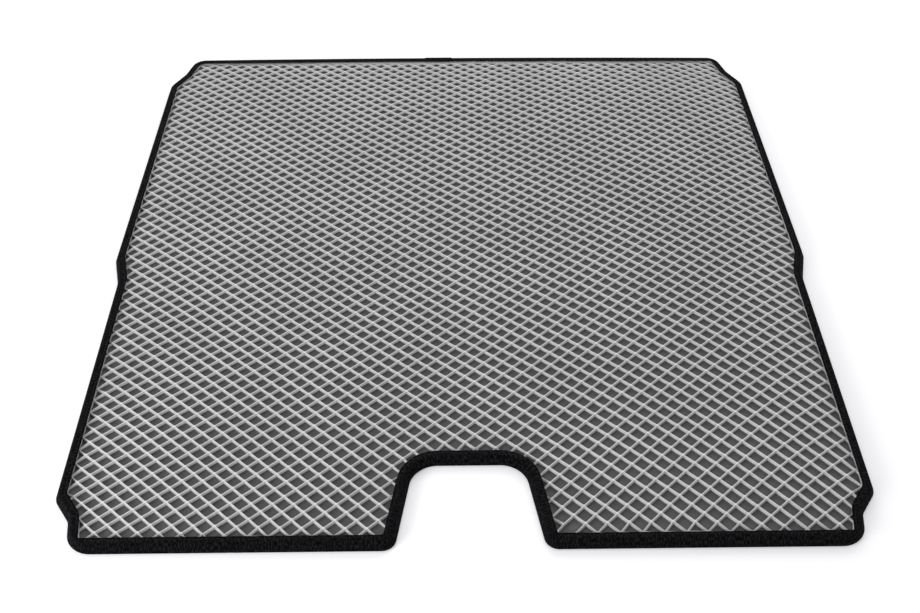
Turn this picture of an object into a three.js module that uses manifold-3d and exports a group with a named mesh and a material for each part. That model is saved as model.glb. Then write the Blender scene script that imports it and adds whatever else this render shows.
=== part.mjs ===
// Boot liner: one flat sheet of foamed EVA, pressed all over with rhombic pockets that
// catch dirt and water, with its cut edge closed by a folded textile tape.
// Millimetres, +Z up. The edge with the latch cut-out faces -Y, the underside is at z = 0
// and the origin is below the middle of the liner.

import * as THREE from 'three';
import { mergeVertices } from 'three/addons/utils/BufferGeometryUtils.js';
import Module from 'manifold-3d';

const wasm = await Module();
wasm.setup();

// Outer edge of the finished liner, tape included. Half widths are measured from the
// centre line, lengths from the near edge towards the seat backs.
const LENGTH = 990;              // near edge to the far corners
const FAR_BOW = 4;               // the far edge swells by this much at its middle
const WIDE_HALF = 472;           // behind the wheel arches, the widest stretch
const NARROW_HALF = 455;         // beside the tailgate opening
const SIDE_TAPER = 5;            // the narrow stretch opens by this much up to the step
const STEP_START = 430;          // step in the long sides
const STEP_LENGTH = 46;
const TAB_HALF = 427;            // the near edge between its two corners
const TAB_LEAN = 7;
const TAB_LENGTH = 41;
const SHOULDER_LENGTH = 29;      // slanting stretch between tab and long side
const FAR_CHAMFER_START = 82;    // slant at the far corners, measured back from LENGTH
const FAR_CHAMFER_LENGTH = 35;
const FAR_CHAMFER_WIDTH = 18;
const FAR_TAB_LEAN = 12;

// Cut-out for the tailgate latch in the near edge.
const LATCH_CENTRE = 3;
const LATCH_MOUTH_HALF = 81.5;
const LATCH_TOP_HALF = 62.5;
const LATCH_DEPTH = 115;

// Corner radii on the outer edge.
const R_TAB = 30;
const R_SHOULDER = 22;
const R_INNER_BEND = 16;         // bends that turn inwards, at tab and far chamfer
const R_STEP = 36;
const R_FAR_SIDE = 30;
const R_FAR_CORNER = 25;
const R_LATCH_MOUTH = 16;
const R_LATCH_TOP = 32;
const ARC_STEP = 22.5 * Math.PI / 180;
const ARC_SHARE = 0.96;          // of a stretch, taken by the arcs at its two ends at most
const FAR_BOW_FACETS = 4;

// Sheet. Two families of ridges cross in it, and every second ridge of each is modelled,
// so that one pocket stands for four.
const SHEET_THICKNESS = 10;      // underside to the crest of the ridges
const POCKET_DEPTH = 6;
const POCKET_ACROSS = 23.59;     // one real pocket, crest to crest
const POCKET_ALONG = 20.546;
const RIDGE_STEP = 2;            // one ridge in so many is modelled
const RIDGE_FOOT = 5.5;          // thickness of a ridge where it meets the pocket floors

// The pressed sheet was laid slightly askew and has stretched, so that its rows of pockets
// swing and bow. The swings are those at PATTERN_REACH from the middle of the pattern.
const PATTERN_MIDDLE = new THREE.Vector2(5.5, 515.7);
const PATTERN_REACH = new THREE.Vector2(448.2, 493.1);
const COLUMN_LEAN = 7.9;
const COLUMN_SPREAD = 4.3;
const ROW_TILT = 41.4;
const ROW_BOW = 23.7;
const ROW_SWING = -25.2;
const ROW_HOOK = -33.5;          // the rows drop towards both long sides
const TILT_GROWTH = 7.5;         // the rows tilt more towards the far edge
const TILT_FADE = -26.7;         // and less towards both ends
const ROW_DRIFT = -9.2;
const ROW_SQUEEZE = -18.6;       // the rows move together at the far end

// Edge tape, folded in a U over the rim of the sheet.
const TAPE_THICKNESS = 1.2;
const TAPE_CLEARANCE = 0.3;      // between the tape and the sheet, and under its cut edge
const TAPE_LAP = 14;             // reach over the sheet, from the outer edge inwards
const SEAT = TAPE_THICKNESS + TAPE_CLEARANCE;
const RIM_CROWN = SHEET_THICKNESS + 1;    // where the tape puffs up over the rim
const RIM_DIP = SHEET_THICKNESS + 0.2;    // where the stitching pulls it down again
const RIM_LEAN = 3;              // the tape pulls the upper edge of the rim inwards
const RIM_TOP_RADIUS = 3;
const RIM_FOOT_RADIUS = 1;
const RIM_TOP_FACETS = 2;
const POCKETS_UNDER_TAPE = 0.5;  // the pockets run on this far below the tape
const PUNCH_TOP = 2 * RIM_CROWN; // clear of the whole sheet

// Where the two ends of the tape meet, on the far edge.
const OVERLAP_START = -8;
const OVERLAP_LENGTH = 47;
const OVERLAP_RISE = 0.8;
const OVERLAP_SUNK = 0.4;

const MIDDLE_Y = (LENGTH + FAR_BOW + OVERLAP_RISE) / 2;

const EVA_GREY = 0x8a8b8c;
const TAPE_BLACK = 0x17171a;

// The corners of the right half, from the latch cut-out round to the far edge.
function rightCorners() {
  const shoulder = TAB_HALF + TAB_LEAN;
  const chamferStart = LENGTH - FAR_CHAMFER_START;
  const chamferEnd = chamferStart + FAR_CHAMFER_LENGTH;
  const farHalf = WIDE_HALF - FAR_CHAMFER_WIDTH;
  return [
    { x: TAB_HALF, y: 0, r: R_TAB },
    { x: shoulder, y: TAB_LENGTH, r: R_INNER_BEND },
    { x: NARROW_HALF, y: TAB_LENGTH + SHOULDER_LENGTH, r: R_SHOULDER },
    { x: NARROW_HALF + SIDE_TAPER, y: STEP_START, r: R_STEP },
    { x: WIDE_HALF, y: STEP_START + STEP_LENGTH, r: R_STEP },
    { x: WIDE_HALF, y: chamferStart, r: R_FAR_SIDE },
    { x: farHalf, y: chamferEnd, r: R_INNER_BEND },
    { x: farHalf - FAR_TAB_LEAN, y: LENGTH, r: R_FAR_CORNER },
  ];
}

function latchCorners() {
  return [
    { x: LATCH_CENTRE - LATCH_MOUTH_HALF, y: 0, r: R_LATCH_MOUTH },
    { x: LATCH_CENTRE - LATCH_TOP_HALF, y: LATCH_DEPTH, r: R_LATCH_TOP },
    { x: LATCH_CENTRE + LATCH_TOP_HALF, y: LATCH_DEPTH, r: R_LATCH_TOP },
    { x: LATCH_CENTRE + LATCH_MOUTH_HALF, y: 0, r: R_LATCH_MOUTH },
  ];
}

// The far edge is one shallow arc, given as a corner with a very large radius whose
// arc starts and ends just inside the two far corners.
function farApex(corner) {
  const reach = corner.x - 2 * R_FAR_CORNER;
  const slope = FAR_BOW / (corner.x - reach / 2);
  return { x: 0, y: LENGTH + slope * corner.x, r: reach / slope, facets: FAR_BOW_FACETS };
}

function outerCorners() {
  const right = rightCorners();
  const left = right.map((c) => ({ ...c, x: -c.x })).reverse();
  return [...latchCorners(), ...right, farApex(right[right.length - 1]), ...left];
}

// Rounds each corner with a tangent arc. A short stretch is shared out between the arcs
// at its two ends by their radii. Every point carries the direction that leads square
// into the sheet, so any parallel line can be drawn from the same points.
function traceEdge(corners) {
  const points = [];
  corners.forEach((corner, i) => {
    const before = corners.at(i - 1);
    const after = corners[(i + 1) % corners.length];
    const here = new THREE.Vector2(corner.x, corner.y);
    const arriving = here.clone().sub(before);
    const leaving = here.clone().sub(after).negate();
    const turn = Math.atan2(arriving.cross(leaving), arriving.dot(leaving));
    const bend = Math.tan(Math.abs(turn) / 2);
    const room = (length, other) =>
      ARC_SHARE * length * corner.r / (corner.r + (other.facets ? 0 : other.r));
    const reach = Math.min(room(arriving.length(), before), room(leaving.length(), after));
    const radius = corner.facets ? corner.r : Math.min(corner.r, reach / bend);
    const facets = corner.facets ?? Math.ceil(Math.abs(turn) / ARC_STEP);
    arriving.normalize();
    const inward = new THREE.Vector2(-arriving.y, arriving.x);
    const outOfBend = Math.sign(turn) * radius;
    const centre = here.addScaledVector(arriving, -radius * bend)
      .addScaledVector(inward, outOfBend);
    for (let k = 0; k <= facets; k += 1) {
      const n = inward.clone().rotateAround(new THREE.Vector2(), turn * k / facets);
      points.push({ at: centre.clone().addScaledVector(n, -outOfBend), inward: n });
    }
  });
  return points;
}

const EDGE = traceEdge(outerCorners());

// The outer edge moved into the sheet by a distance, as a closed loop at one height.
function loopAt([inset, z]) {
  return EDGE.map(({ at, inward }) => {
    const p = at.clone().addScaledVector(inward, inset);
    return new THREE.Vector3(p.x, p.y, z);
  });
}

// Joins a row of loops into one closed skin: either capped at both ends, or led back
// from the last loop to the first one.
function skin(loops, capped) {
  const count = loops[0].length;
  const triangles = [];
  const bands = capped ? loops.length - 1 : loops.length;
  for (let i = 0; i < bands; i += 1) {
    const low = i * count;
    const high = ((i + 1) % loops.length) * count;
    for (let k = 0; k < count; k += 1) {
      const next = (k + 1) % count;
      triangles.push(low + k, low + next, high + next, low + k, high + next, high + k);
    }
  }
  if (capped) {
    const last = (loops.length - 1) * count;
    const flat = (loop) => loop.map((p) => new THREE.Vector2(p.x, p.y));
    for (const [a, b, c] of THREE.ShapeUtils.triangulateShape(flat(loops[0]), [])) {
      triangles.push(a, c, b);
    }
    for (const [a, b, c] of THREE.ShapeUtils.triangulateShape(flat(loops.at(-1)), [])) {
      triangles.push(last + a, last + b, last + c);
    }
  }
  const geometry = new THREE.BufferGeometry().setFromPoints(loops.flat());
  geometry.setIndex(triangles);
  return geometry;
}

// Section of the rim as [inset, height] pairs, from the underside round the outer edge
// to the top, swollen outwards by a distance so that the tape follows the sheet.
function rimSection(swell) {
  const arc = (inset, z, radius, from, facets) => {
    const pairs = [];
    for (let k = 0; k <= facets; k += 1) {
      const angle = from - (Math.PI / 2) * k / facets;
      const reach = radius + swell;
      pairs.push([inset + reach * Math.cos(angle), z + reach * Math.sin(angle)]);
    }
    return pairs;
  };
  return [
    [TAPE_LAP, SEAT - swell],
    ...arc(SEAT + RIM_FOOT_RADIUS, SEAT + RIM_FOOT_RADIUS, RIM_FOOT_RADIUS, -Math.PI / 2, 1),
    ...arc(SEAT + RIM_LEAN + RIM_TOP_RADIUS, RIM_CROWN - RIM_TOP_RADIUS, RIM_TOP_RADIUS,
      Math.PI, RIM_TOP_FACETS),
    [TAPE_LAP, RIM_DIP + swell],
  ];
}

// Where a ridge crossing lies on the sheet, from its place in the straight pattern, which
// is measured from the middle of the pattern.
function onSheet(across, along) {
  const u = across / PATTERN_REACH.x;
  const v = along / PATTERN_REACH.y;
  const columnShift = COLUMN_LEAN * v + COLUMN_SPREAD * u ** 2;
  const rowShape = ROW_BOW * u ** 2 + ROW_SWING * u ** 3 + ROW_HOOK * u ** 4;
  const rowTilt = (ROW_TILT + TILT_GROWTH * v + TILT_FADE * v ** 2) * u;
  const rowShift = rowShape + rowTilt + ROW_DRIFT * v ** 3 + ROW_SQUEEZE * v ** 4;
  return new THREE.Vector2(across + columnShift, along + rowShift).add(PATTERN_MIDDLE);
}

// The tool that presses one pocket: a four-sided punch with a flat end, drafted walls up
// to the crest and straight ones above it. Its neighbours meet it along the crests.
function pocketPunch(across, along) {
  const halfAcross = RIDGE_STEP * POCKET_ACROSS / 2;
  const halfAlong = RIDGE_STEP * POCKET_ALONG / 2;
  const acrossRidges = 2 * halfAcross * halfAlong / Math.hypot(halfAcross, halfAlong);
  const floor = 1 - RIDGE_FOOT / acrossRidges;
  const centre = onSheet(across, along);
  const crossings = [[1, 0], [0, 1], [-1, 0], [0, -1]].map(([i, j]) =>
    onSheet(across + i * halfAcross, along + j * halfAlong));
  const loop = (share, z) => crossings.map((crossing) => {
    const p = centre.clone().lerp(crossing, share);
    return new THREE.Vector3(p.x, p.y, z);
  });
  return skin([
    loop(floor, SHEET_THICKNESS - POCKET_DEPTH),
    loop(1, SHEET_THICKNESS),
    loop(1, PUNCH_TOP),
  ], true);
}

// All punches of the rhombic pattern: rows half a pocket apart, every second row shifted
// by half a pocket. The middle of the pattern is a corner of four real pockets.
function pocketPattern() {
  const rows = Math.ceil(LENGTH / (RIDGE_STEP * POCKET_ALONG)) + 1;
  const halfRow = Math.ceil(WIDE_HALF / (RIDGE_STEP * POCKET_ACROSS)) + 1;
  const punches = [];
  for (let row = -rows; row <= rows; row += 1) {
    const along = (RIDGE_STEP * row - 1) * POCKET_ALONG / 2;
    const shift = Math.abs(row % 2) / 2;
    for (let k = -halfRow; k <= halfRow; k += 1) {
      const across = (RIDGE_STEP * (k + shift) - 0.5) * POCKET_ACROSS;
      punches.push(toSolid(pocketPunch(across, along)));
    }
  }
  return joinAll(punches);
}

function joinAll(solids) {
  let parts = solids;
  while (parts.length > 1) {
    const joined = [];
    for (let i = 0; i < parts.length; i += 2) {
      joined.push(i + 1 < parts.length ? parts[i].add(parts[i + 1]) : parts[i]);
    }
    parts = joined;
  }
  return parts[0];
}

function toSolid(geometry) {
  const bare = geometry.clone();
  bare.deleteAttribute('normal');
  bare.deleteAttribute('uv');
  const merged = mergeVertices(bare, 1e-4);
  return new wasm.Manifold(new wasm.Mesh({
    numProp: 3,
    vertProperties: new Float32Array(merged.attributes.position.array),
    triVerts: new Uint32Array(merged.index.array),
  }));
}

function toGeometry(solid) {
  const mesh = solid.getMesh();
  const geometry = new THREE.BufferGeometry();
  geometry.setAttribute('position', new THREE.BufferAttribute(mesh.vertProperties, 3));
  geometry.setIndex(new THREE.BufferAttribute(mesh.triVerts, 1));
  return geometry;
}

function makeNode(name, solid, colour, roughness) {
  const geometry = toGeometry(solid).toNonIndexed().translate(0, -MIDDLE_Y, 0);
  geometry.computeVertexNormals();
  const material = new THREE.MeshStandardMaterial({ color: colour, roughness, metalness: 0 });
  const mesh = new THREE.Mesh(geometry, material);
  mesh.name = name;
  return mesh;
}

// The sheet lies on the floor, apart from its rim, which stands on the folded tape and
// tapers a little towards the fold.
function evaSheet() {
  const footInset = TAPE_LAP + TAPE_CLEARANCE;
  const slab = skin([
    loopAt([footInset, 0]),
    loopAt([footInset, SEAT]),
    ...rimSection(0).slice(2).map(loopAt),
  ], true);
  const pocketEdge = TAPE_LAP - POCKETS_UNDER_TAPE;
  const pocketArea = skin([loopAt([pocketEdge, 0]), loopAt([pocketEdge, PUNCH_TOP])], true);
  const pockets = pocketPattern().intersect(toSolid(pocketArea));
  return makeNode('eva_sheet', toSolid(slab).subtract(pockets), EVA_GREY, 0.6);
}

// The second layer where the tape ends lap over each other, on the top and outer side.
function tapeOverlap() {
  const upper = (swell) => rimSection(swell).slice(2);
  const outside = upper(SEAT + OVERLAP_RISE);
  const inside = upper(SEAT - OVERLAP_SUNK).reverse();
  const shape = new THREE.Shape([...outside, ...inside].map(([u, v]) => new THREE.Vector2(u, v)));
  const layer = new THREE.ExtrudeGeometry(shape, { depth: OVERLAP_LENGTH, bevelEnabled: false });
  const place = new THREE.Matrix4().makeBasis(
    new THREE.Vector3(0, -1, 0), new THREE.Vector3(0, 0, 1), new THREE.Vector3(-1, 0, 0));
  place.setPosition(OVERLAP_START, LENGTH + FAR_BOW, 0);
  return layer.applyMatrix4(place);
}

function edgeBinding() {
  const outside = rimSection(SEAT);
  const inside = rimSection(TAPE_CLEARANCE).reverse();
  const tape = toSolid(skin([...outside, ...inside].map(loopAt), false));
  return makeNode('edge_binding', tape.add(toSolid(tapeOverlap())), TAPE_BLACK, 0.85);
}

const liner = new THREE.Group();
liner.name = 'boot_liner';
liner.add(evaSheet(), edgeBinding());

export default liner;
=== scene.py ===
# Boot liner of pressed EVA with a bound edge, lying flat on a white studio floor.

import math

import bmesh
import bpy
from mathutils import Euler, Matrix, Vector, kdtree


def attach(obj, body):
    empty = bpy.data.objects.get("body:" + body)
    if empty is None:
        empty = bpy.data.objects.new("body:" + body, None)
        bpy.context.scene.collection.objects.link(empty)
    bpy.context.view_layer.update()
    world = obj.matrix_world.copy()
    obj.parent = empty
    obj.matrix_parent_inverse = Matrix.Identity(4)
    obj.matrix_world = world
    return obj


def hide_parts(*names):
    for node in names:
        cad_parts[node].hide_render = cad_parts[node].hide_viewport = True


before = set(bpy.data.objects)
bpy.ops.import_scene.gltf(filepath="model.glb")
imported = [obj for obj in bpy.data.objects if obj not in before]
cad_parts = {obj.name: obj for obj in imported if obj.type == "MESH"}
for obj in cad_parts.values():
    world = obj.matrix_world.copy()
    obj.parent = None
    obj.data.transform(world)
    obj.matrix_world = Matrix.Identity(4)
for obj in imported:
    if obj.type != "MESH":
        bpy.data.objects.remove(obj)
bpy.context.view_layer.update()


# The studio: a white floor that runs on past the picture, lit softly from all round, with
# one long softbox high behind the liner and one lower at its left front. The camera
# stands at the tailgate, about a metre up, and looks down at 43 degrees.
scene = bpy.context.scene
scene.view_settings.view_transform = "Standard"

camera_place = (-0.0210, -1.2024, 1.0145)
lens_angle = math.radians(47.0)
camera_turn = math.radians(-0.957)
camera_roll = math.radians(0.18)
camera_data = bpy.data.cameras.new("camera")
camera_data.sensor_width = 36.0
camera_data.lens = 44.31
camera_data.clip_end = 50.0
camera = bpy.data.objects.new("camera", camera_data)
camera.matrix_world = (
    Matrix.Translation(camera_place)
    @ Euler((lens_angle, 0.0, camera_turn)).to_matrix().to_4x4()
    @ Matrix.Rotation(camera_roll, 4, "Z")
)
scene.collection.objects.link(camera)
scene.camera = camera


def place_piece(bm, name):
    """A new object in the scene that takes over a finished mesh."""
    mesh = bpy.data.meshes.new(name)
    bm.to_mesh(mesh)
    bm.free()
    piece = bpy.data.objects.new(name, mesh)
    scene.collection.objects.link(piece)
    return piece


def new_finish(piece, name):
    """A new material on a piece, as its node tree and its surface shader."""
    finish = bpy.data.materials.new(name)
    finish.use_nodes = True
    piece.data.materials.append(finish)
    return finish.node_tree, finish.node_tree.nodes["Principled BSDF"]


def link(tree, kind, *sources, **settings):
    """A shader node with its inputs linked or set in order, and its own settings."""
    made = tree.nodes.new("ShaderNode" + kind)
    for name, value in settings.items():
        setattr(made, name, value)
    for socket, source in zip(made.inputs, sources):
        if isinstance(source, bpy.types.NodeSocket):
            tree.links.new(source, socket)
        else:
            socket.default_value = source
    return made


# Where the camera sees it, the floor glows a little of its own and the air is white.
floor_half = 8.0
floor_height = -0.0003
floor_white = (0.84, 0.84, 0.86, 1.0)
floor_lift = 0.22
bm = bmesh.new()
bmesh.ops.create_grid(bm, x_segments=1, y_segments=1, size=floor_half)
bmesh.ops.translate(bm, verts=bm.verts, vec=(0.0, 0.0, floor_height))
floor = place_piece(bm, "floor")
floor_tree, floor_paint = new_finish(floor, "floor_white")
floor_paint.inputs["Base Color"].default_value = floor_white
floor_paint.inputs["Roughness"].default_value = 1.0
floor_paint.inputs["Specular IOR Level"].default_value = 0.0
floor_paint.inputs["Emission Color"].default_value = (1.0, 1.0, 1.0, 1.0)
seen = link(floor_tree, "LightPath").outputs["Is Camera Ray"]
lifted = link(floor_tree, "Math", seen, floor_lift, operation="MULTIPLY")
floor_tree.links.new(lifted.outputs[0], floor_paint.inputs["Emission Strength"])

air_light = 0.66
air_white = 1.0
world = bpy.data.worlds.new("studio")
scene.world = world
world.use_nodes = True
air_tree = world.node_tree
air = air_tree.nodes["Background"]
air.inputs["Color"].default_value = (1.0, 1.0, 1.0, 1.0)
seen = link(air_tree, "LightPath").outputs["Is Camera Ray"]
level = link(air_tree, "MapRange", seen, 0.0, 1.0, air_light, air_white)
air_tree.links.new(level.outputs["Result"], air.inputs["Strength"])

for name, place, aim, size, power in (
    ("softbox_back", (0.3, 1.9, 1.7), (0.0, 0.2, 0.0), (2.6, 1.2), 26.0),
    ("softbox_left", (-1.5, -1.3, 0.75), (-0.1, -0.2, 0.0), (1.1, 0.5), 22.0),
):
    lamp = bpy.data.lights.new(name, "AREA")
    lamp.shape = "RECTANGLE"
    lamp.size, lamp.size_y = size
    lamp.energy = power
    holder = bpy.data.objects.new(name, lamp)
    holder.location = place
    holder.rotation_euler = (Vector(aim) - Vector(place)).to_track_quat("-Z", "Y").to_euler()
    scene.collection.objects.link(holder)


# The sheet: closed-cell EVA foam, 10 mm thick, pressed all over with rhombic pockets and
# cut to the boot floor. Its pattern runs a little askew and bows, because the sheet was
# laid by hand on the cutter. Its rim is squeezed flat inside the edge tape.
near_edge = -0.4974

# Each corner is given by its distance to the side, its distance from the near edge and
# its radius. The far edge is one very wide corner, which makes it bow slightly.
corners = [
    (0.427, 0.000, 0.030),
    (0.434, 0.041, 0.016),
    (0.455, 0.070, 0.022),
    (0.460, 0.430, 0.036),
    (0.472, 0.476, 0.036),
    (0.472, 0.908, 0.030),
    (0.454, 0.943, 0.016),
    (0.442, 0.990, 0.025),
]
latch = [
    (-0.0785, 0.0, 0.016),
    (-0.0595, 0.115, 0.032),
    (0.0655, 0.115, 0.032),
    (0.0845, 0.0, 0.016),
]
far_bow = (0.0, 0.9972, 24.0)
outline = latch + corners + [far_bow] + [(-x, y, r) for x, y, r in reversed(corners)]
widest_corner = 1.0
side_share = 0.96
steps_on_arc = 4

# The tape covers 14 mm of the sheet, and less at the two near corners, which turn so far
# that its inner edge is square there.
tape_cover = 0.014
least_cover = 0.0098
square_turn = 1.2
square_radius = 0.02


def trace(arc_step, straight_step):
    """Points of the outer edge, with the way square into the sheet and the tape's cover."""
    stops = []
    for i, (x, y, radius) in enumerate(outline):
        before, after = outline[i - 1], outline[(i + 1) % len(outline)]
        here = Vector((x, y + near_edge))
        arriving = here - Vector((before[0], before[1] + near_edge))
        leaving = Vector((after[0], after[1] + near_edge)) - here
        turn = math.atan2(arriving.cross(leaving), arriving.dot(leaving))
        bend = math.tan(abs(turn) / 2)
        if radius < widest_corner:
            for stretch, other in ((arriving, before[2]), (leaving, after[2])):
                share = radius / (radius + other) if other < widest_corner else 1.0
                radius = min(radius, side_share * share * stretch.length / bend)
        arriving.normalize()
        side = Vector((-arriving.y, arriving.x))
        reach = math.copysign(radius, turn)
        centre = here - arriving * radius * bend + side * reach
        arc_length = radius * abs(turn)
        by_angle = abs(turn) / arc_step
        by_length = arc_length / straight_step / steps_on_arc
        arc_steps = max(1, math.ceil(max(by_angle, by_length)))
        for k in range(arc_steps + 1):
            turned = Matrix.Rotation(turn * k / arc_steps, 2) @ side
            cover = tape_cover
            if turn > square_turn and radius > square_radius:
                past = turn * min(k, arc_steps - k) / arc_steps
                cover = max(least_cover, radius - (radius - tape_cover) / math.cos(past))
            stops.append((centre - turned * reach, turned, cover))
    points = []
    for (a, side_a, cover_a), (b, side_b, cover_b) in zip(stops, stops[1:] + stops[:1]):
        pieces = max(1, math.ceil((b - a).length / straight_step))
        for k in range(pieces):
            share = k / pieces
            turned = side_a.lerp(side_b, share).normalized()
            points.append((a.lerp(b, share), turned, cover_a + (cover_b - cover_a) * share))
    return points


# The pattern ends 2 mm under the tape, and 1 mm clear of it along the edges that face
# the tailgate.
hidden = 0.002
near_margin = 0.003
cut = [
    at + side * (cover - hidden + near_margin * max(0.0, side.y) ** 2)
    for at, side, cover in trace(arc_step=math.radians(15), straight_step=1.0)
]

# The pattern is laid out by the crossings of its ridges, two columns and two rows to a
# pocket. The ridges of each family are numbered, and these two lie at the grid's middle.
ridges = 90
middle_rising, middle_falling = 15, -18
left_column, right_column = -45, 41
first_row, last_row = -18, 85
bm = bmesh.new()
bmesh.ops.create_grid(bm, x_segments=ridges, y_segments=ridges, size=ridges / 2)
for v in bm.verts:
    rising, falling = round(v.co.x) + middle_rising, round(v.co.y) + middle_falling
    column, row = rising + falling + 1, rising - falling
    v.co = (column, row, 0.0)
far_off = [
    v for v in bm.verts
    if not (left_column <= v.co.x <= right_column and first_row <= v.co.y <= last_row)
]
bmesh.ops.delete(bm, geom=far_off, context="VERTS")

# Each crossing lies so many millimetres to the side and from the near edge, on powers of
# its column u and its row w, which run from -1 to 1 over the sheet.
half_columns = 38
middle_row, half_rows = 33, 48
middle_aside, half_width, side_stretch, askew = 5.5, 448.2, 4.3, 7.9
middle_away, half_length = 515.7, 493.1
bow = (23.7, -25.2, -33.5)
swing = (41.4, 7.5, -26.7)
end_stretch = (-9.2, -18.6)
for v in bm.verts:
    u, w = v.co.x / half_columns, (v.co.y - middle_row) / half_rows
    aside = middle_aside + half_width * u + side_stretch * u**2 + askew * w
    bowed = bow[0] * u**2 + bow[1] * u**3 + bow[2] * u**4
    swung = (swing[0] + swing[1] * w + swing[2] * w**2) * u
    swung += end_stretch[0] * w**3 + end_stretch[1] * w**4
    away = middle_away + half_length * w + bowed + swung
    v.co = (aside / 1000, away / 1000 + near_edge, 0.0)
bmesh.ops.reverse_faces(bm, faces=bm.faces)

touching = 1e-6


def inside(point):
    """Whether a point on the floor lies inside the cut line."""
    odd = False
    for a, b in zip(cut, cut[1:] + cut[:1]):
        if (a.y > point.y) != (b.y > point.y):
            if point.x < a.x + (point.y - a.y) * (b.x - a.x) / (b.y - a.y):
                odd = not odd
    return odd


def crossed(face, a, b):
    """Whether the stretch of the cut line from a to b runs through a face."""
    ahead = (b - a).normalized()
    seen_from_a = [((v.co.xy - a).dot(ahead), ahead.cross(v.co.xy - a)) for v in face.verts]
    hits = []
    for (s, d), (s2, d2) in zip(seen_from_a, seen_from_a[1:] + seen_from_a[:1]):
        if (d > touching / 10) != (d2 > touching / 10):
            hits.append(s + (s2 - s) * d / (d - d2))
    return bool(hits) and max(hits) > touching and min(hits) < (b - a).length - touching


# The blade goes once round the cut line. Dictionaries keep the order of what it meets, so
# that each run cuts alike.
scored = {}
for a, b in zip(cut, cut[1:] + cut[:1]):
    struck = [f for f in bm.faces if crossed(f, a, b)]
    around = dict.fromkeys(e for f in struck for e in f.edges)
    around.update(dict.fromkeys(v for f in struck for v in f.verts))
    made = bmesh.ops.bisect_plane(
        bm, geom=struck + list(around), dist=touching,
        plane_co=(a.x, a.y, 0.0), plane_no=(b.y - a.y, a.x - b.x, 0.0),
    )
    edges_cut = [e for e in made["geom_cut"] if isinstance(e, bmesh.types.BMEdge)]
    scored.update(dict.fromkeys(edges_cut))
outer = [f for f in bm.faces if not inside(f.calc_center_median().xy)]
bmesh.ops.delete(bm, geom=outer, context="FACES")
stray = [e for e in scored if e.is_valid and len(e.link_faces) == 2]
bmesh.ops.dissolve_edges(bm, edges=stray, use_verts=True)

# The ridges thicken to a small flat where they cross, and where they reach the cut line.
shortest_side = 0.003
room_for_flat = 0.006
crossing_flat = 0.0015
bmesh.ops.dissolve_degenerate(bm, edges=bm.edges, dist=shortest_side)
flats = []
for v in bm.verts:
    crossing = len(v.link_edges) == 4
    ridge_end = v.is_boundary and len(v.link_edges) == 3
    if crossing or ridge_end:
        if min(e.calc_length() for e in v.link_edges) > room_for_flat:
            flats.append(v)
bmesh.ops.bevel(
    bm, geom=flats, offset=crossing_flat, affect="VERTICES", segments=1, profile=0.5,
    material=-1, clamp_overlap=False,
)

# Each pocket is sunk in two steps, the ridge's shoulder and then its wall. A sliver beside
# the tape gets one steep wall, and one that is smaller still stays solid.
pocket_area, pocket_room = 60e-6, 0.0026
sliver_area, sliver_room = 14e-6, 0.0014
shoulder_width, shoulder_drop = 0.0006, 0.0003
wall_width, wall_drop = 0.0011, 0.0052
sliver_width, sliver_drop = 0.0007, 0.0050
pocket_depth = shoulder_drop + wall_drop
pockets = []
slivers = []
for f in bm.faces:
    room = 2 * f.calc_area() / f.calc_perimeter()
    if f.calc_area() > pocket_area and room > pocket_room:
        pockets.append(f)
    elif f.calc_area() > sliver_area and room > sliver_room:
        slivers.append(f)
for width, drop in ((shoulder_width, shoulder_drop), (wall_width, wall_drop)):
    bmesh.ops.inset_individual(
        bm, faces=pockets, thickness=width, depth=-drop, use_even_offset=True
    )
bmesh.ops.inset_individual(bm, faces=slivers, thickness=sliver_width, depth=-sliver_drop)
for f in bm.faces:
    f.smooth = True
for f in pockets + slivers:
    for e in f.edges:
        e.smooth = False

rim = trace(arc_step=math.radians(6), straight_step=0.004)
rim_finder = kdtree.KDTree(len(rim))
for i, (at, side, cover) in enumerate(rim):
    rim_finder.insert((at.x, at.y, 0.0), i)
rim_finder.balance()


def nearest_rim(point):
    """The nearest point of the outer edge, with the way into the sheet and the cover."""
    return rim[rim_finder.find((point.x, point.y, 0.0))[1]]


# The tape presses the ridges down beside it.
crest_height = 0.0101
pressed_down = 0.0015
pressed_band = 0.009
for v in bm.verts:
    at, side, cover = nearest_rim(v.co)
    clear = (v.co.xy - at).dot(side) - cover
    near = min(1.0, max(0.0, 1 - clear / pressed_band))
    up_the_wall = (v.co.z + pocket_depth) / pocket_depth
    v.co.z += crest_height - pressed_down * near * near * up_the_wall

# The rim runs on flat under the tape and slopes down to its foot inside the fold.
rim_top = (0.0062, 0.0102)
rim_foot = (0.0034, 0.0018)
border = [e for e in bm.edges if e.is_boundary]
for inset, height in (rim_top, rim_foot):
    grown = bmesh.ops.extrude_edge_only(bm, edges=border)["geom"]
    border = [e for e in grown if isinstance(e, bmesh.types.BMEdge) and e.is_boundary]
    for v in {v for e in border for v in e.verts}:
        at, side, cover = nearest_rim(v.co)
        back = inset - (v.co.xy - at).dot(side)
        v.co.x += side.x * back
        v.co.y += side.y * back
        v.co.z = height
bmesh.ops.holes_fill(bm, edges=border)
for e in border:
    e.smooth = False
bmesh.ops.recalc_face_normals(bm, faces=bm.faces)
sheet = place_piece(bm, "eva_pockets")
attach(sheet, "root")
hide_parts("eva_sheet")


def noise(tree, place, scale, detail):
    """Noise of a given scale and detail over a piece's own coordinates."""
    made = link(tree, "TexNoise", place)
    made.inputs["Scale"].default_value = scale
    made.inputs["Detail"].default_value = detail
    return made.outputs["Fac"]


def blend(tree, share, low, high, **settings):
    """A mix of two colours by a share from 0 to 1."""
    mixed = link(tree, "Mix", data_type="RGBA", **settings)
    for name, source in (("Factor", share), ("A", low), ("B", high)):
        if isinstance(source, bpy.types.NodeSocket):
            tree.links.new(source, mixed.inputs[name])
        else:
            mixed.inputs[name].default_value = source
    return mixed.outputs["Result"]


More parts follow.
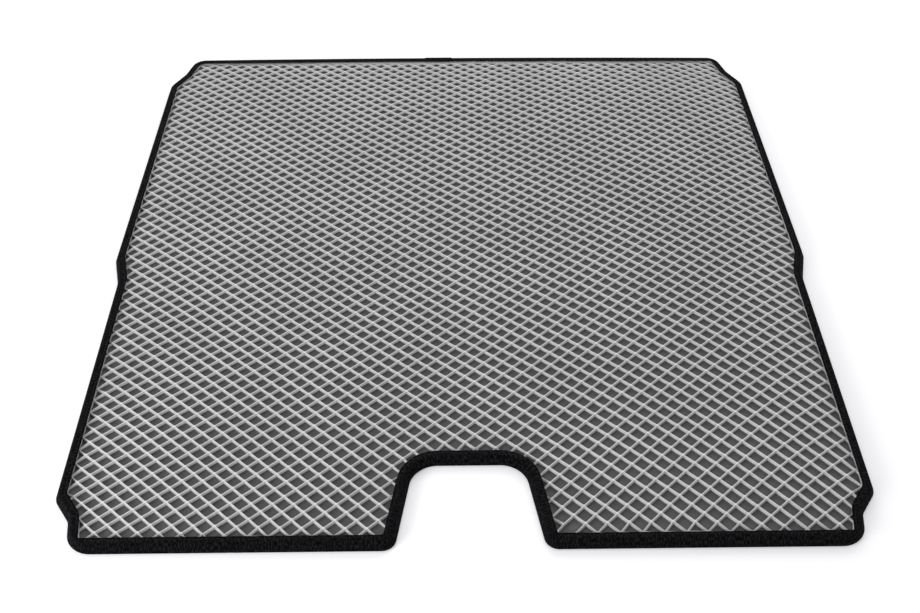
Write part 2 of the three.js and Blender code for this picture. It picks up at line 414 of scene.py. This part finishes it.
def emboss(tree, height, strength, distance):
    """A surface direction roughened by a height."""
    made = link(tree, "Bump")
    made.inputs["Strength"].default_value = strength
    made.inputs["Distance"].default_value = distance
    tree.links.new(height, made.inputs["Height"])
    return made.outputs["Normal"]


# The foam is dull on the pocket floors and glossier on the ridges, and its colour goes by
# height: painted shade darkens the pocket floors and the foot of their walls, and a painted
# highlight lightens the crests, less where the tape presses them down. Its skin is finely
# grained, and its tone varies at random in patches.
floor_painted_shade_grey = (0.105, 0.105, 0.106, 1.0)
wall_grey = (0.43, 0.43, 0.435, 1.0)
crest_painted_highlight_grey = (0.62, 0.62, 0.625, 1.0)
wall_from, wall_to = 0.0063, 0.0069
crest_from, crest_to = 0.0094, 0.0101
dull, satin = 0.85, 0.42
grain_scale, grain_depth, grain_strength = 900.0, 0.0003, 0.35
patch_scale = 7.0
foam_tree, foam_skin = new_finish(sheet, "eva_foam")
place = link(foam_tree, "TexCoord").outputs["Object"]
height = link(foam_tree, "SeparateXYZ", place).outputs["Z"]
# By height, the share from the pocket floors' painted shade up to the walls' grey; it also sets
# the gloss.
up_from_painted_shade = link(foam_tree, "MapRange", height, wall_from, wall_to).outputs[0]
# By height, the share of the crests' painted highlight.
crest = link(foam_tree, "MapRange", height, crest_from, crest_to).outputs[0]
grain = noise(foam_tree, place, grain_scale, detail=4.0)
patches = noise(foam_tree, place, patch_scale, detail=3.0)
shade = link(foam_tree, "MapRange", patches, 0.3, 0.7, 0.94, 1.06).outputs[0]
speckle = link(foam_tree, "MapRange", grain, 0.3, 0.7, 0.86, 1.14).outputs[0]
uneven = link(foam_tree, "Math", shade, speckle, operation="MULTIPLY").outputs[0]
# Painted shade: the pocket floors and the foot of their walls are painted dark.
grey = blend(foam_tree, up_from_painted_shade, floor_painted_shade_grey, wall_grey)
# Painted highlight: the crests are painted lightest.
shaded_and_highlighted = blend(foam_tree, crest, grey, crest_painted_highlight_grey)
mottled = blend(foam_tree, 1.0, shaded_and_highlighted, uneven, blend_type="MULTIPLY")
gloss = link(foam_tree, "MapRange", up_from_painted_shade, 0.0, 1.0, dull, satin).outputs[0]
grained = emboss(foam_tree, grain, grain_strength, grain_depth)
foam_tree.links.new(mottled, foam_skin.inputs["Base Color"])
foam_tree.links.new(gloss, foam_skin.inputs["Roughness"])
foam_tree.links.new(grained, foam_skin.inputs["Normal"])


# The edge tape: a woven black polyester tape about 36 mm wide, folded in a U over the rim
# and sewn down. It goes once round, and its two ends lap over each other on the far edge.
low_round = 0.0025
high_round = 0.0045
high_inset, high_centre = 0.0075, 0.0080

# The folded tape in section, by its inset from the outer edge and its height: from its
# lower edge outwards, up and over the rim to its upper edge, and back along its inner face.
section = [(tape_cover, 0.0), (0.0085, 0.0), (low_round, 0.0)]
for k in range(1, 4):
    a = math.radians(270 - 30 * k)
    section.append((low_round + low_round * math.cos(a), low_round + low_round * math.sin(a)))
section.append((0.0014, 0.0052))
for k in range(6):
    a = math.radians(180 - 18 * k)
    section.append((high_inset + high_round * math.cos(a), high_centre + high_round * math.sin(a)))
section += [(0.0095, 0.0124), (0.0108, 0.0119), (0.0122, 0.0119)]
section += [(tape_cover, 0.0120), (tape_cover + 0.0002, 0.0112)]
section += [(0.0122, 0.0108), (0.0108, 0.0107), (0.0080, 0.0112), (0.0052, 0.0098)]
section += [(0.0044, 0.0080), (0.0012, 0.0025), (0.0025, 0.0012), (tape_cover, 0.0012)]
section.append(section[0])


def lengths(stops):
    """How far round the edge each stop lies."""
    run = [0.0]
    for here, after in zip(stops, stops[1:]):
        run.append(run[-1] + (after[0] - here[0]).length)
    return run


# The upper leg gathers in small waves at the bends, most where they are tighter than 33 mm.
gather_pitch = 0.0052
gather_height = 0.0003
gather_bend = 30
gather_above = 0.0115
gather_rise = 0.004
stations = trace(arc_step=math.radians(5), straight_step=0.003)
stations.append(stations[0])
along = lengths(stations)
turns = [0.0] * len(stations)
for i in range(1, len(stations) - 1):
    turned = stations[i + 1][1].angle(stations[i - 1][1]) / (along[i + 1] - along[i - 1])
    turns[i] = min(1.0, turned / gather_bend)

bm = bmesh.new()
weave_uv = bm.loops.layers.uv.verify()


def fold(outlined, first, last, pucker):
    """Sweep a folded section of tape along the edge, with its gathers at the tight bends."""
    across = [0.0]
    for (x, z), (x2, z2) in zip(outlined, outlined[1:]):
        across.append(across[-1] + math.hypot(x2 - x, z2 - z))
    wide, long = len(outlined) - 1, last - first
    made = bmesh.ops.create_grid(bm, x_segments=wide, y_segments=long, size=1.0, calc_uvs=True)
    spots = {}
    for v in made["verts"]:
        k = round((v.co.x + 1) / 2 * wide)
        i = first + round((v.co.y + 1) / 2 * long)
        spots[v] = (across[k], along[i])
        (inset, z), (at, side, cover) = outlined[k], stations[i]
        past_fold = inset - high_inset
        if z > gather_above:
            gather = pucker * turns[i] * math.sin(along[i] * 2 * math.pi / gather_pitch)
            z += gather * min(1.0, max(0.0, past_fold / gather_rise))
        if past_fold > 0:
            inset = high_inset + past_fold * (cover - high_inset) / (tape_cover - high_inset)
        place = at + side * inset
        v.co = (place.x, place.y, z)
    for f in {f for v in made["verts"] for f in v.link_faces}:
        f.smooth = True
        for corner in f.loops:
            corner[weave_uv].uv = spots[corner.vert]


fold(section, 0, len(stations) - 1, gather_height)
bmesh.ops.remove_doubles(bm, verts=bm.verts, dist=1e-6)

# The end that laps over is a second layer round the outer face, a little left of middle.
lap_left, lap_right = -0.055, -0.008
lap_outside, lap_inside = 0.0008, 0.0001
far_from = 0.4
end_lap = [
    i for i, (at, side, cover) in enumerate(stations)
    if at.y > far_from and lap_left < at.x < lap_right
]
outer_face = section[4:18]
layers = []
for lift in (lap_outside, lap_inside):
    layer = []
    for k, (x, z) in enumerate(outer_face):
        x0, z0 = outer_face[max(0, k - 1)]
        x1, z1 = outer_face[min(len(outer_face) - 1, k + 1)]
        length = math.hypot(x1 - x0, z1 - z0)
        layer.append((x - (z1 - z0) / length * lift, z + (x1 - x0) / length * lift))
    layers.append(layer)
fold(layers[0] + layers[1][::-1] + layers[0][:1], end_lap[0], end_lap[-1], 0.0)
bmesh.ops.remove_doubles(bm, verts=bm.verts, dist=1e-6)
bmesh.ops.holes_fill(bm, edges=[e for e in bm.edges if e.is_boundary])
bmesh.ops.recalc_face_normals(bm, faces=bm.faces)
tape = place_piece(bm, "edge_tape")
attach(tape, "root")
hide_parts("edge_binding")


def wave(tree, distance, pitch):
    """A sine wave of a given pitch over a distance in the cloth."""
    angle = link(tree, "Math", distance, 2 * math.pi / pitch, operation="MULTIPLY")
    return link(tree, "Math", angle.outputs[0], operation="SINE").outputs[0]


# The weave is a twill with ribs across the tape, and short lint lies on it in tufts. The lint
# grey is laid on more strongly over the raised threads, as a painted highlight on the weave.
rib_pitch = 0.0011
twill_pitch = 0.0016
weave_depth = 0.0002
lint_stretch = 0.35
lint_scale = 620.0
black = (0.0006, 0.0006, 0.0009, 1.0)
lint_and_highlight_grey = (0.033, 0.032, 0.037, 1.0)
weave_tree, cloth = new_finish(tape, "tape_weave")
uv = link(weave_tree, "TexCoord").outputs["UV"]
wide, long = link(weave_tree, "SeparateXYZ", uv).outputs[:2]
slant = link(weave_tree, "Math", long, wide, operation="ADD").outputs[0]
ribs = wave(weave_tree, long, rib_pitch)
twill = wave(weave_tree, slant, twill_pitch)
raised = link(weave_tree, "Math", ribs, twill, operation="ADD").outputs[0]
threads = link(weave_tree, "MapRange", raised, -2.0, 2.0).outputs[0]
drawn_out = link(weave_tree, "Math", wide, lint_stretch, operation="MULTIPLY").outputs[0]
combed = link(weave_tree, "CombineXYZ", drawn_out, long).outputs[0]
lint = noise(weave_tree, combed, lint_scale, detail=3.0)
tufts = link(weave_tree, "MapRange", lint, 0.47, 0.62, 0.0, 1.0).outputs[0]
# Painted highlight: the raised threads take more of the lint grey.
lit_threads = link(weave_tree, "Math", threads, tufts, operation="MULTIPLY").outputs[0]
dye_lint_and_highlight = blend(weave_tree, lit_threads, black, lint_and_highlight_grey)
woven = emboss(weave_tree, raised, 1.0, weave_depth)
weave_tree.links.new(dye_lint_and_highlight, cloth.inputs["Base Color"])
weave_tree.links.new(woven, cloth.inputs["Normal"])
cloth.inputs["Roughness"].default_value = 0.8
cloth.inputs["Specular IOR Level"].default_value = 0.05


# The sewing thread: a black bonded polyester lockstitch, 4.5 mm to the stitch. It holds the
# tape down 3 mm from its inner edge and shows as a row of short dashes above and below.
stitch_length = 0.0045
seam_inset = 0.003
strand_sides = 5
strand_half_width = 0.0003
strand_half_height = 0.00022
needle_hole_depth = 0.0006
dash_squareness = 6
upper_row, lower_row = (0.0119, -1), (0.0, 1)
seam = trace(arc_step=math.radians(4), straight_step=0.0012)
seam.append(seam[0])
sewn = lengths(seam)
stitches = round(sewn[-1] / stitch_length)
bm = bmesh.new()
for surface, inward in (upper_row, lower_row):
    made = bmesh.ops.create_grid(
        bm, x_segments=strand_sides, y_segments=len(seam) - 1, size=1.0
    )
    for v in made["verts"]:
        round_strand = (v.co.x + 1) * math.pi
        i = round((v.co.y + 1) / 2 * (len(seam) - 1))
        at, side, cover = seam[i]
        hole = abs(math.cos(math.pi * stitches * sewn[i] / sewn[-1])) ** dash_squareness
        place = at + side * (cover - seam_inset + strand_half_width * math.cos(round_strand))
        height = surface + strand_half_height * math.sin(round_strand)
        v.co = (place.x, place.y, height + inward * needle_hole_depth * hole)
bmesh.ops.remove_doubles(bm, verts=bm.verts, dist=1e-6)
bmesh.ops.recalc_face_normals(bm, faces=bm.faces)
for f in bm.faces:
    f.smooth = True
thread = place_piece(bm, "sewing_thread")
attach(thread, "root")

strand_dark = (0.003, 0.003, 0.004, 1.0)
strand_light = (0.016, 0.016, 0.019, 1.0)
fuzz_scale = 2500.0
thread_tree, strand = new_finish(thread, "bonded_thread")
place = link(thread_tree, "TexCoord").outputs["Object"]
fuzz = noise(thread_tree, place, fuzz_scale, detail=2.0)
spun = blend(thread_tree, fuzz, strand_dark, strand_light)
thread_tree.links.new(spun, strand.inputs["Base Color"])
strand.inputs["Roughness"].default_value = 0.5
strand.inputs["Specular IOR Level"].default_value = 0.2
